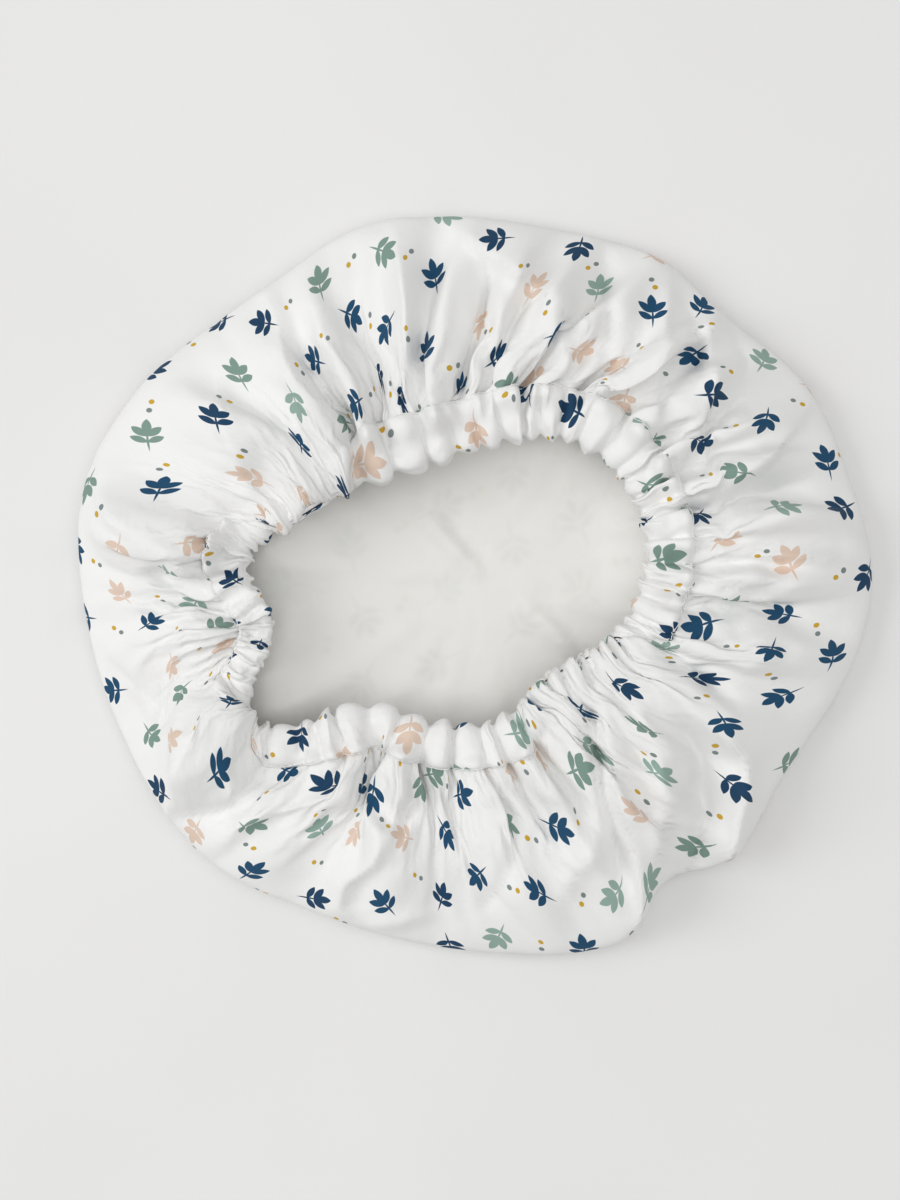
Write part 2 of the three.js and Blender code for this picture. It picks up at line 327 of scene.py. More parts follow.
def fold_waves(bearing):
    """Phase, rise and lean of the main folds at a bearing."""
    ridges = np.radians([fold[0] for fold in FOLDS])
    ridges = np.append(ridges, ridges[0] + TURN)
    turned = np.mod(bearing - ridges[0], TURN) + ridges[0]
    place = np.interp(turned, ridges, np.arange(len(ridges)))
    rise = np.interp(place, np.arange(len(ridges)), [f[1] for f in FOLDS] + [FOLDS[0][1]])
    lean = np.interp(place, np.arange(len(ridges)), [f[2] for f in FOLDS] + [FOLDS[0][2]])
    return TURN * place, rise, lean


# Long folds of the top cloth, ridges and creases: their points in the image, their height, and
# how far they reach to the left and to the right of that way
LONG_FOLDS = [
    ([(545, 672), (565, 702), (578, 735), (590, 780), (600, 830)], 0.0045, 0.0028, 0.0060),
    ([(586, 700), (594, 740), (598, 790)], -0.0045, 0.0022, 0.0028),
    ([(592, 680), (600, 720), (610, 790), (630, 850), (640, 900), (640, 955)], 0.0068, 0.0060, 0.0019),
    ([(612, 825), (618, 872)], -0.0030, 0.0030, 0.0030),
    ([(627, 716), (650, 738), (658, 775), (655, 820)], 0.0040, 0.0060, 0.0040),
    ([(618, 640), (650, 675), (690, 715), (722, 740), (741, 757), (741, 780), (735, 820), (726, 895)],
     0.0080, 0.0080, 0.0021),
    ([(650, 690), (680, 722), (704, 770), (706, 820), (690, 890)], -0.0070, 0.0050, 0.0060),
    ([(690, 770), (668, 800), (652, 860), (642, 925)], 0.0035, 0.0028, 0.0100),
    ([(658, 652), (690, 672), (730, 700)], -0.0032, 0.0026, 0.0026),
    ([(665, 632), (700, 650), (740, 667), (775, 672)], 0.0052, 0.0120, 0.0018),
    ([(690, 580), (740, 592), (795, 610)], -0.0038, 0.0024, 0.0030),
    ([(705, 600), (735, 625), (770, 655)], 0.0022, 0.0060, 0.0060),
    ([(703, 557), (760, 558), (840, 563)], 0.0056, 0.0100, 0.0017),
    ([(715, 571), (770, 579), (800, 586)], 0.0025, 0.0035, 0.0035),
    ([(720, 507), (780, 494), (806, 478)], -0.0040, 0.0040, 0.0050),
    ([(715, 518), (790, 514), (870, 511)], 0.0040, 0.0018, 0.0090),
    ([(690, 505), (725, 490), (772, 455), (800, 422)], 0.0070, 0.0110, 0.0018),
    ([(680, 470), (695, 450), (715, 420), (745, 395)], -0.0042, 0.0026, 0.0030),
    ([(645, 430), (650, 400), (660, 350), (668, 300), (672, 278)], 0.0052, 0.0060, 0.0036),
    ([(687, 300), (697, 350), (695, 385)], -0.0042, 0.0034, 0.0034),
    ([(720, 415), (710, 395), (702, 365), (706, 332), (714, 310)], 0.0050, 0.0018, 0.0080),
    ([(740, 385), (746, 360), (738, 335)], -0.0024, 0.0032, 0.0040),
    ([(604, 248), (605, 310), (604, 370)], -0.0042, 0.0040, 0.0036),
    ([(450, 225), (490, 262), (520, 286), (550, 310), (577, 332)], 0.0064, 0.0160, 0.0019),
    ([(546, 312), (558, 345), (567, 372)], 0.0042, 0.0028, 0.0080),
    ([(487, 262), (487, 330), (493, 366)], -0.0034, 0.0028, 0.0030),
    ([(496, 290), (497, 330), (500, 364)], 0.0026, 0.0070, 0.0026),
    ([(394, 248), (401, 280), (406, 330), (406, 395)], 0.0058, 0.0080, 0.0018),
    ([(412, 300), (414, 345), (413, 402)], -0.0026, 0.0030, 0.0026),
    ([(262, 283), (280, 322), (290, 360), (298, 395), (312, 428), (345, 478)], 0.0052, 0.0070, 0.0034),
    ([(322, 352), (340, 390), (358, 430)], -0.0040, 0.0034, 0.0030),
    ([(326, 340), (345, 380), (365, 410), (388, 425)], 0.0040, 0.0060, 0.0030),
    ([(222, 395), (232, 438), (245, 475), (262, 500)], 0.0042, 0.0070, 0.0028),
    ([(250, 435), (285, 440), (310, 465)], 0.0026, 0.0060, 0.0040),
    ([(99, 484), (104, 506), (122, 527), (150, 545), (176, 560), (204, 582)], 0.0076, 0.0140, 0.0020),
    ([(118, 545), (150, 568), (190, 596)], -0.0036, 0.0040, 0.0050),
    ([(112, 590), (150, 650), (172, 740), (140, 790)], -0.0050, 0.0200, 0.0200),
    ([(130, 612), (160, 620), (190, 623), (224, 608)], -0.0032, 0.0026, 0.0026),
    ([(100, 655), (130, 688), (167, 724)], -0.0036, 0.0030, 0.0040),
    ([(228, 690), (206, 716), (196, 745), (178, 770), (170, 800), (160, 830)], 0.0074, 0.0140, 0.0020),
    ([(165, 818), (205, 813), (248, 803)], -0.0034, 0.0030, 0.0030),
    ([(228, 755), (238, 790), (262, 782)], 0.0026, 0.0050, 0.0030),
    ([(305, 785), (272, 805), (242, 830), (222, 852)], 0.0032, 0.0030, 0.0090),
    ([(366, 765), (363, 800), (386, 831), (375, 857), (346, 882), (341, 905), (356, 922)],
     0.0056, 0.0030, 0.0110),
    ([(410, 745), (414, 790), (402, 835)], -0.0042, 0.0034, 0.0028),
    ([(398, 760), (404, 800)], 0.0030, 0.0028, 0.0045),
    ([(365, 926), (400, 922), (435, 912)], 0.0028, 0.0040, 0.0030),
    ([(512, 748), (535, 773), (562, 795)], 0.0034, 0.0030, 0.0060),
    ([(598, 835), (574, 868), (558, 898)], 0.0034, 0.0050, 0.0050),
    ([(515, 850), (500, 885), (480, 910)], -0.0022, 0.0040, 0.0040),
]
LONG_FOLD_START = 0.8  # share of the long folds that the cloth starts to settle from
LONG_FOLD_GAIN = 1.6
RIDGE_POWER = 1.4  # 2 is a round ridge, 1 a sharp one
CREST = 0.052  # height above which the folds sink together under their own weight
CREST_CALM = 0.65  # share of the height above it that is lost
LONG_FOLD_FOOT = 0.006  # height from which the long folds rise
LONG_FOLD_FADE = 0.010  # how much higher they are full
LONG_FOLD_END = 0.02  # share at either end that keeps its least height
FOLD_SMOOTHING = 0.3


def from_image(points):
    """Places on the bonnet, in metres, of points in the image."""
    middle = np.asarray(BONNET_PIXEL)
    return (np.asarray(points, dtype=float) - middle) * METRES_PER_PIXEL * [1, -1]


def long_fold_rise(points):
    """How much the long folds lift the top cloth, or press it down in a crease."""
    rise = np.zeros(len(points))
    for line, height, left_reach, right_reach in LONG_FOLDS:
        corners = from_image(line)
        along = np.diff(corners, axis=0)
        lengths = np.linalg.norm(along, axis=1)
        line_walk = np.concatenate([[0], np.cumsum(lengths)])
        best = np.full(len(points), np.inf)
        place = np.zeros(len(points))
        width = np.full(len(points), left_reach)
        for corner, way, length, before in zip(corners, along, lengths, line_walk):
            off = points[:, :2] - corner
            share = np.clip((off @ way) / length ** 2, 0, 1)
            away = np.linalg.norm(off - share[:, None] * way, axis=1)
            nearer = away < best
            on_right = off @ [way[1], -way[0]] > 0
            width[nearer] = np.where(on_right, right_reach, left_reach)[nearer]
            best[nearer] = away[nearer]
            place[nearer] = (before + share * length)[nearer] / line_walk[-1]
        taper = np.sin(math.pi * np.clip(place, LONG_FOLD_END, 1 - LONG_FOLD_END)) ** 0.5
        rise += height * taper * np.exp(-((best / width) ** RIDGE_POWER))
    return rise * np.clip((points[:, 2] - LONG_FOLD_FOOT) / LONG_FOLD_FADE, 0, 1)


def lay_long_folds(piece):
    points = mesh_values(piece.data.vertices, "co")
    points[:, 2] += LONG_FOLD_GAIN * long_fold_rise(points)
    points[:, 2] -= CREST_CALM * np.maximum(points[:, 2] - CREST, 0)
    piece.data.vertices.foreach_set("co", points.ravel())


LOOP_STEPS = 2880
loop_bearings = np.linspace(0, TURN, LOOP_STEPS + 1)
loop_steps = np.linalg.norm(np.diff(elastic_line(loop_bearings), axis=0), axis=1)
loop_shares = np.concatenate([[0], np.cumsum(loop_steps)]) / loop_steps.sum()

chance = np.random.default_rng(GATHER_SEED)
gather_bearings = np.interp(np.arange(GATHERS) / GATHERS, loop_shares, loop_bearings)
gather_widths = np.interp(np.degrees(gather_bearings), *zip(*GATHER_WIDTHS))
gather_widths *= chance.uniform(*GATHER_WIDTH_SPREAD, GATHERS)
gather_edges = np.concatenate([[0], np.cumsum(gather_widths) / gather_widths.sum()])
gather_sizes = chance.uniform(*GATHER_SIZE_SPREAD, GATHERS)


def share_bearing(share):
    """Bearing of a place on the elastic, by its share of the length."""
    return np.interp(share, loop_shares, loop_bearings)


def gather_waves(bearing):
    """Phase and size of the small gathers at the hem."""
    share = np.interp(np.mod(bearing, TURN), loop_bearings, loop_shares)
    count = np.interp(share, gather_edges, np.arange(GATHERS + 1))
    size = np.interp(count, np.arange(GATHERS + 1), np.append(gather_sizes, gather_sizes[0]))
    return TURN * (count - 0.5), size


def round_cut(rings):
    """The flat round cloth as a square grid drawn out to a circle."""
    steps = np.arange(-rings, rings + 1, dtype=float)
    across, along = (axis.ravel() for axis in np.meshgrid(steps, steps))
    wide = np.abs(across) > np.abs(along)
    longer = np.where(wide, across, along)
    shorter = np.where(wide, along, across)
    share = np.divide(shorter, longer, out=np.zeros_like(longer), where=longer != 0)
    angle = np.where(wide, math.pi / 4 * share, math.pi / 2 - math.pi / 4 * share)
    return np.stack([longer * np.cos(angle), longer * np.sin(angle)], -1) * CUT_RADIUS / rings


def rolled_section(bearing):
    """The way of the cloth from the table over the rim to the hem, at each bearing."""
    reach = outline_reach(bearing)
    edge = np.stack([reach * np.cos(bearing), reach * np.sin(bearing)], -1)
    line = elastic_line(bearing)
    into_opening = elastic_inward(bearing)
    roll = casing_roll(bearing)

    def round_elastic(radius, turned):
        """A place round the elastic, counted from its outer side over the top."""
        plan = line[:, :2] - into_opening * (radius * np.cos(turned))[:, None]
        return np.c_[plan, line[:, 2] + radius * np.sin(turned)]

    top_end = round_elastic(WRAP_RADIUS, WRAP_START * roll)
    span = np.linalg.norm(top_end[:, :2] - edge, axis=1)
    inward = (top_end[:, :2] - edge) / span[:, None]
    count = len(bearing)

    def point(into, height):
        into = np.broadcast_to(into, count)
        return np.c_[edge + inward * into[:, None], np.broadcast_to(height, count)]

    # In from the outline, and up from the table
    rim = [(FLOOR_INSET, 0), (0.010, 0.001), (0.003, 0.004), (0, belly_height), (0.001, 0.015)]
    way = [point(*step) for step in rim]
    for share in np.linspace(0, 1, TOP_STEPS + 1):
        into = RIM_ROLL + share * (span - RIM_ROLL)
        puff = TOP_PUFF * math.sin(math.pi * share)
        way.append(point(into, RIM_LEVEL + share * (top_end[:, 2] - RIM_LEVEL) + puff))
    for share in np.linspace(WRAP_START, 1, WRAP_STEPS + 1)[1:]:
        way.append(round_elastic(WRAP_RADIUS, share * roll))
    way.append(round_elastic(np.interp(roll, [0, 1], HEM_REACH), roll))
    return np.stack(way, 1), len(rim)


cut = round_cut(CLOTH_RINGS)
cut_reach = np.hypot(cut[:, 0], cut[:, 1])
bearing = np.arctan2(cut[:, 1], cut[:, 0])
way, rim_step = rolled_section(bearing)
pieces_of_way = np.maximum(np.linalg.norm(np.diff(way, axis=1), axis=2), 1e-9)
walked = np.concatenate([np.zeros((len(cut), 1)), np.cumsum(pieces_of_way, 1)], 1)
way_length = walked[:, -1]
floor_reach = np.linalg.norm(way[:, 0, :2], axis=1)
on_floor = cut_reach <= floor_reach
walk = np.clip((cut_reach - floor_reach) / (CUT_RADIUS - floor_reach), 0, 1) * way_length
way_step = np.clip((walk[:, None] >= walked).sum(1) - 1, 0, way.shape[1] - 2)
every = np.arange(len(cut))
into_step = ((walk - walked[every, way_step]) / pieces_of_way[every, way_step])[:, None]
start = way[every, way_step] * (1 - into_step) + way[every, way_step + 1] * into_step
start[on_floor] = np.c_[cut[on_floor], np.zeros(on_floor.sum())]

# The cloth that the hem has too much of goes into folds, and near the casing into gathers
top_share = np.clip((walk - walked[:, rim_step]) / (way_length - walked[:, rim_step]), 0, 1)
from_hem = way_length - walk
fold_phase, fold_rise, fold_lean = fold_waves(bearing)
gather_phase, gather_size = gather_waves(bearing)
fold_share = np.interp(top_share, *zip(*FOLD_SHARES))
fold_height = FOLD_RISE * fold_share * fold_rise
ridge = ((1 + np.cos(fold_phase)) / 2) ** FOLD_SHARPNESS
gather_share = np.interp(from_hem, *zip(*GATHER_SHARES))
gather_height = HEM_WAVE * gather_size * gather_share
gather_height[top_share <= 0] = 0
rolled = (1 - np.cos(casing_roll(bearing))) / 2
on_lip = (way_step >= rim_step + TOP_STEPS) & (rolled > LEAST_ROLL)
pucker_way = start - elastic_line(bearing)
pucker_way /= np.linalg.norm(pucker_way, axis=1, keepdims=True)
pucker_way[~on_lip] = (0, 0, 1)
calm = np.interp(np.degrees(np.mod(bearing, TURN)), *zip(*LIP_CALM)) * rolled
gather_height *= 1 - calm
gather_wave = 2 * np.abs(np.cos(gather_phase / 2)) ** GATHER_SHARPNESS - 1
pucker = gather_height * gather_wave + LIP_WAVE * calm * on_lip * np.cos(gather_phase / 3)
start += pucker[:, None] * pucker_way
start[:, 2] += (
    fold_height * (FOLD_SPAN * ridge - FOLD_VALLEY) + LONG_FOLD_START * long_fold_rise(start)
)
sideways = np.stack([-np.sin(bearing), np.cos(bearing)], -1)
swing = FOLD_SWING * fold_height * fold_lean * ridge
swing += GATHER_SWING * gather_height * np.sin(gather_phase + GATHER_SLANT)
start[:, :2] += swing[:, None] * sideways
start[:, 2] = np.maximum(start[:, 2], 0) + COTTON

SIM_SCALE = 10  # the solver is made for things of a metre or more
SIM_TABLE = 12
LEAST_HOLD = 0.02
# How firmly the crown is held while it settles: fully at the hem and on the table, less elsewhere
HEM_ROWS = 1.2  # rows of the grid that count as the hem
FLOOR_SLACK = 0.012  # free cloth inside the edge of what lies on the table
RIM_HOLD = 0.6
RIM_HOLD_WIDTH = 0.014
TOP_HOLD = 0.3
LIP_HOLD = [(0.15, 0.95), (0.7, 0.75)]  # by how much of the gathers is lost there


def let_settle(piece, flat, hold, solid, spacing, frames):
    """Lets a cloth that was cut flat find its folds round a solid, held as its weights say."""
    piece.shape_key_add(name="Basis")
    flat_key = piece.shape_key_add(name="flat_cut")
    flat_key.data.foreach_set("co", (flat * SIM_SCALE).ravel())
    held = piece.vertex_groups.new(name="held")
    for index in np.nonzero(hold > LEAST_HOLD)[0]:
        held.add([int(index)], float(hold[index]), "REPLACE")
    cloth = piece.modifiers.new("cloth", "CLOTH")
    rules = cloth.settings
    rules.quality = 6
    rules.mass = 0.15
    rules.tension_stiffness = 40
    rules.compression_stiffness = 40
    rules.shear_stiffness = 5
    rules.bending_model = "ANGULAR"
    rules.bending_stiffness = 1.2
    rules.tension_damping = rules.compression_damping = rules.shear_damping = 8
    rules.bending_damping = 1
    rules.air_damping = 3
    rules.vertex_group_mass = held.name
    rules.rest_shape_key = flat_key
    rules.effector_weights.gravity = 0.25
    touch = cloth.collision_settings
    touch.collision_quality = 3
    touch.distance_min = spacing
    touch.use_self_collision = True
    touch.self_distance_min = spacing
    touch.self_friction = 5
    solid.modifiers.new("solid", "COLLISION")
    solid.collision.thickness_outer = 0.005
    solid.collision.cloth_friction = 20
    cloth.point_cache.frame_start = 1
    cloth.point_cache.frame_end = frames
    for number in range(1, frames + 1):
        scene.frame_set(number)
    bpy.data.objects.remove(solid)
    bpy.ops.object.select_all(action="DESELECT")
    piece.select_set(True)
    bpy.context.view_layer.objects.active = piece
    bpy.ops.object.convert(target="MESH")
    scene.frame_set(1)
    piece.data.transform(Matrix.Scale(1 / SIM_SCALE, 4))


def apply_modifier(piece, kind, **settings):
    bpy.context.view_layer.objects.active = piece
    modifier = piece.modifiers.new(kind.lower(), kind)
    for name, value in settings.items():
        setattr(modifier, name, value)
    bpy.ops.object.modifier_apply(modifier=modifier.name)


def lay_uv(piece, flat):
    layer = piece.data.uv_layers.active
    layer.name = "cut"
    corners = np.empty(len(piece.data.loops), dtype=np.int32)
    piece.data.loops.foreach_get("vertex_index", corners)
    layer.uv.foreach_set("vector", flat[corners].ravel())


bpy.ops.object.select_all(action="DESELECT")
bpy.ops.mesh.primitive_grid_add(x_subdivisions=2 * CLOTH_RINGS, y_subdivisions=2 * CLOTH_RINGS)
crown = bpy.context.object
crown.name = crown.data.name = "crown_cloth"
crown.data.vertices.foreach_set("co", (start * SIM_SCALE).ravel())
crown.data.flip_normals()
lay_uv(crown, cut / (2 * CUT_RADIUS) + 0.5)
at_hem = cut_reach > CUT_RADIUS * (1 - HEM_ROWS / CLOTH_RINGS)
deep_floor = cut_reach < floor_reach - FLOOR_SLACK
from_belly = walk - walked[:, RIM_BELLY]
rim_hold = RIM_HOLD * np.exp(-((from_belly / RIM_HOLD_WIDTH) ** 2)) * ~on_floor
top_hold = TOP_HOLD * (top_share > 0)
lip_hold = on_lip * np.interp(calm, *zip(*LIP_HOLD))
hold = np.where(at_hem | deep_floor, 1.0, np.maximum.reduce([rim_hold, top_hold, lip_hold]))
bpy.ops.mesh.primitive_plane_add(size=SIM_TABLE)
flat_cut = np.c_[cut, np.zeros(len(cut))]
let_settle(crown, flat_cut, hold, bpy.context.object, spacing=0.013, frames=36)
settled = mesh_values(crown.data.vertices, "co")
bpy.ops.object.shade_smooth()
apply_modifier(crown, "SUBSURF", levels=1, render_levels=1)
lay_long_folds(crown)
apply_modifier(crown, "SMOOTH", factor=FOLD_SMOOTHING, iterations=1)
crown_top = BVHTree.FromObject(crown, bpy.context.evaluated_depsgraph_get())
apply_modifier(crown, "SOLIDIFY", thickness=COTTON, offset=-1)

COTTON_WHITE = linear(242, 242, 241)
SPRIG_PITCH = 0.036
SPRIG_SEED = 3.0
SPRIG_JITTER = 0.34
TOP_LEAF_LIFT = 0.0050
TOP_LEAF = (0.0096, 0.0046)  # length and width
STEM_DROP = 0.0042
STEM = (0.0130, 0.0011)
BERRY_SEED = 8.0
BERRY_JITTER = 0.15
BERRY_ASIDE = 0.0025
BERRY_RADIUS = 0.0014
BERRY_GAPS = 0.3  # share of their places that stay empty
# Pairs of leaves of a sprig: where they leave the stem, slant from it, length and width
SPRIG_PAIRS = [
    (-0.0008, math.radians(48), 0.0092, 0.0042), (-0.0046, math.radians(62), 0.0086, 0.0038),
]
SPRIG_COLOURS = [
    (0.0, linear(10, 70, 105)), (0.26, linear(6, 58, 92)), (0.46, linear(125, 152, 142)),
    (0.62, linear(146, 172, 163)), (0.76, linear(226, 203, 186)),
]
BERRY_COLOURS = [(0.0, linear(205, 165, 45)), (0.6, linear(126, 138, 138))]


def scattered(finish, across, along, pitch, seed, jitter):
    """Place on the nearest motif of a half-drop repeat, each moved and turned by chance."""
    column = (across / pitch).math("FLOOR")
    drop = along / pitch + column * 0.5
    row = drop.math("FLOOR")
    key = finish.node("CombineXYZ", {}, {"x": column, "y": row, "z": seed})
    dice = finish.node("TexWhiteNoise", {"noise_dimensions": "3D"}, {"vector": key})
    pick = finish.node("SeparateColor", {}, {"color": dice.other("Color")})
    x = (across / pitch - column - 0.5 - (pick - 0.5) * jitter) * pitch
    y = (drop - row - 0.5 - (pick.other("Green") - 0.5) * jitter) * pitch
    cosine = (dice * TURN).math("COSINE")
    sine = (dice * TURN).math("SINE")
    return x * cosine + y * sine, y * cosine - x * sine, pick.other("Blue")


def leaf(x, y, length, width):
    """How far a place lies outside a pointed leaf that stands along y."""
    radius = (length ** 2 + width ** 2) / (4 * width)
    off = x.math("ABSOLUTE") + (radius - width / 2)
    return (off * off + y * y).math("SQRT") - radius


def inked(distance, soft):
    """1 inside a motif and 0 outside, with an edge as soft as asked for."""
    return (0.5 - distance / soft).math("MINIMUM", 1.0).math("MAXIMUM", 0.0)


def printed_colour(finish, across, along, ground, soft=0.0002):
    """The printed cloth: five-leaf sprigs and pairs of berries on a plain ground."""
    x, y, pick = scattered(finish, across, along, SPRIG_PITCH, SPRIG_SEED, SPRIG_JITTER)
    sprig = leaf(x, y - TOP_LEAF_LIFT, *TOP_LEAF)
    sprig = sprig.math("MINIMUM", leaf(x, y + STEM_DROP, *STEM))
    for foot, slant, length, width in SPRIG_PAIRS:
        aside = x.math("ABSOLUTE")
        off = aside * math.cos(slant) - (y - foot) * math.sin(slant)
        out = aside * math.sin(slant) + (y - foot) * math.cos(slant)
        sprig = sprig.math("MINIMUM", leaf(off, out - length / 2, length, width))
    half = SPRIG_PITCH / 2
    berry_x, berry_y, berry_pick = scattered(
        finish, across + half, along + half / 2, SPRIG_PITCH, BERRY_SEED, BERRY_JITTER,
    )
    berry_off = berry_x.math("ABSOLUTE") - BERRY_ASIDE
    berry = (berry_off * berry_off + berry_y * berry_y).math("SQRT") - BERRY_RADIUS
    berry = berry + berry_pick.math("LESS_THAN", BERRY_GAPS)
    ink = finish.node(
        "ValToRGB", {"stops": SPRIG_COLOURS, "steps": True}, {"fac": pick},
    )
    berry_ink = finish.node(
        "ValToRGB", {"stops": BERRY_COLOURS, "steps": True},
        {"fac": berry_x.math("GREATER_THAN", 0.0)},
    )
    with_berries = finish.node(
        "Mix", {"data_type": "RGBA"}, {0: inked(berry, soft), 6: (*ground, 1), 7: berry_ink},
    )
    return finish.node(
        "Mix", {"data_type": "RGBA"}, {0: inked(sprig, soft), 6: with_berries, 7: ink},
    )


def cut_place(finish):
    """Place on the flat round cut, in metres from its middle."""
    uv = finish.node("SeparateXYZ", {}, {"vector": finish.node("UVMap", {"uv_map": "cut"}, {})})
    return (uv - 0.5) * (2 * CUT_RADIUS), (uv.other("Y") - 0.5) * (2 * CUT_RADIUS)


THREADS = TURN / 0.0006  # two threads of the weave to a wave
PUCKERS = 150.0
PUCKER_WANDER = 14.0
PUCKER_START = 0.215  # from the middle of the cut
PUCKER_FADE = 0.06


def gathered_bump(finish, across, along):
    """Small puckers that run out from the hem, and the faint crumple of washed cotton."""
    reach = (across * across + along * along).math("SQRT")
    flat_place = finish.node("CombineXYZ", {}, {"x": across, "y": along, "z": 0.0})
    crumple = finish.node("TexNoise", {}, {"vector": flat_place, "scale": 45.0, "detail": 4.0})
    pucker = (along.math("ARCTAN2", across) * PUCKERS + crumple * PUCKER_WANDER).math("SINE")
    near_hem = ((reach - PUCKER_START) / PUCKER_FADE).math("MINIMUM", 1.0).math("MAXIMUM", 0.0)
    weave = (across * THREADS).math("SINE") * (along * THREADS).math("SINE")
    height = crumple * 1.6 + pucker * near_hem * 0.5 + weave * 0.006
    return finish.node("Bump", {}, {"height": height, "distance": 0.0010, "strength": 0.7})


cotton = Finish("printed_cotton", roughness=0.85)
cotton_across, cotton_along = cut_place(cotton)
cotton.show(base_color=printed_colour(cotton, cotton_across, cotton_along, COTTON_WHITE))
cotton.show(normal=gathered_bump(cotton, cotton_across, cotton_along))
crown.data.materials.append(cotton.material)

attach(crown, "root")
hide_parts("outer_crown")


# Crown lining
# A round of plain white silk of the same cut, sewn in at the same hem. It lies loose inside the
# crown and follows its folds. It swells up under the casing, and its middle keeps soft creases.
SILK = 0.0003  # thickness
LAYER_GAP = 0.0005
LOOSE_HEIGHT = 0.012  # below which the lining lies loose
LOOSE_FADE = 0.010
SILK_WAVE = 0.0007  # slow waves of the loose cloth
# Creases of the loose middle, and swells under the casing: both ends in plan, height and width
CREASES = [
    ((-0.026, 0.034), (0.000, 0.006), 0.0036, 0.0042),
    ((0.025, -0.011), (0.047, -0.034), 0.0034, 0.0045),
    ((0.098, 0.055), (0.102, -0.030), 0.0240, 0.0330),
    ((-0.040, 0.084), (0.080, 0.082), 0.0220, 0.0300),
    ((-0.085, 0.050), (-0.106, 0.000), 0.0130, 0.0280),
    ((-0.104, -0.030), (-0.088, -0.072), 0.0100, 0.0260),
    ((-0.070, 0.012), (-0.030, -0.030), 0.0016, 0.0110),
    ((0.005, 0.050), (0.050, 0.010), 0.0016, 0.0120),
]


def crease_rise(points):
    rise = np.zeros(len(points))
    for first, last, height, width in CREASES:
        along = np.subtract(last, first)
        share = ((points[:, :2] - first) @ along) / (along @ along)
        nearest = first + np.clip(share, 0, 1)[:, None] * along
        away = np.linalg.norm(points[:, :2] - nearest, axis=1)
        taper = np.interp(share, [-0.3, 0.3, 0.7, 1.3], [0, 1, 1, 0])
        rise += height * taper * np.exp(-((away / width) ** 2))
    x, y = points[:, 0], points[:, 1]
    return rise + SILK_WAVE * (1 + np.sin(61 * x + 43 * y) * np.sin(37 * x - 58 * y + 1))


bpy.ops.object.select_all(action="DESELECT")
bpy.ops.mesh.primitive_grid_add(x_subdivisions=2 * CLOTH_RINGS, y_subdivisions=2 * CLOTH_RINGS)
lining = bpy.context.object
lining.name = lining.data.name = "lining_cloth"
lining.data.vertices.foreach_set("co", settled.ravel())
lining.data.flip_normals()
lay_uv(lining, cut / (2 * CUT_RADIUS) + 0.5)
lining.data.update()
crown_normals = mesh_values(lining.data.vertex_normals, "vector")
inner_face = settled - crown_normals * (COTTON + LAYER_GAP)
lining.data.vertices.foreach_set("co", inner_face.ravel())
bpy.ops.object.shade_smooth()
apply_modifier(lining, "SUBSURF", levels=1, render_levels=1)
lay_long_folds(lining)
apply_modifier(lining, "SMOOTH", factor=FOLD_SMOOTHING, iterations=1)
loose = mesh_values(lining.data.vertices, "co")
lies = np.clip((LOOSE_HEIGHT - loose[:, 2]) / LOOSE_FADE, 0, 1)
loose[:, 2] = np.maximum(loose[:, 2], COTTON + LAYER_GAP) + lies * crease_rise(loose)
lining.data.vertices.foreach_set("co", loose.ravel())
apply_modifier(lining, "SOLIDIFY", thickness=SILK, offset=-1)

SILK_WHITE = linear(238, 237, 233)
PRINT_BLUR = 0.0035
PRINT_TRACE = 0.07  # how much of the print shows through
silk = Finish("lining_silk", roughness=0.42, specular_ior_level=0.4)
silk_across, silk_along = cut_place(silk)
ghost = printed_colour(silk, silk_across, silk_along, SILK_WHITE, soft=PRINT_BLUR)
silk.show(base_color=silk.node(
    "Mix", {"data_type": "RGBA"}, {0: PRINT_TRACE, 6: (*SILK_WHITE, 1), 7: ghost},
))
silk_place = silk.node("CombineXYZ", {}, {"x": silk_across, "y": silk_along, "z": 0.0})
crumples = silk.node("TexNoise", {}, {"vector": silk_place, "scale": 32.0, "detail": 3.0})
silk.show(normal=silk.node("Bump", {}, {"height": crumples, "distance": 0.003, "strength": 0.6}))
lining.data.materials.append(silk.material)

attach(lining, "root")
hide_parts("crown_lining")


# Elastic casing
# A strip of the printed cotton, folded over the gathered hem and sewn through, so that it makes
# a channel for the elastic. The drawn-in elastic bunches it into a ring of small puffed lobes.
STRIP_LENGTH = 1.02
STRIP_WIDTH = 0.058
LOBE_STEPS = 9
STRIP_STEPS = 20
NEAR_ROW = 0.4 / STRIP_STEPS  # less than half a row of the grid
LOBE_ROUNDNESS = 0.55
LOBE_SLANT = 0.45
LOBE_LEAN = 0.4
LOBE_SWAY = 0.0050
HEM_COVER = 0.0008  # from the crown up to the strip that is folded over it
HEM_SHARE = 0.3  # share of the strip's width that lies over the hem
STRIP_ROLL = 0.9  # leaves the edge of a rolled strip tucked under the crown
ROLLED_FULLNESS = 0.6
ROLLED_SEAM = 0.70  # how far out a rolled strip is sewn on, to a level one
ROLL_FADE = 0.3  # turn by which the strip counts as rolled
UNROLLED = 0.02  # turn up to which it counts as level
LIFT_LIMITS = (-0.008, 0.020)  # how far the sewn edge follows the crown down and up
LIFT_START = -0.004  # from the elastic out to where the strip begins to follow the crown
LIFT_FADE = 0.006
ABOVE_ALL = 0.1
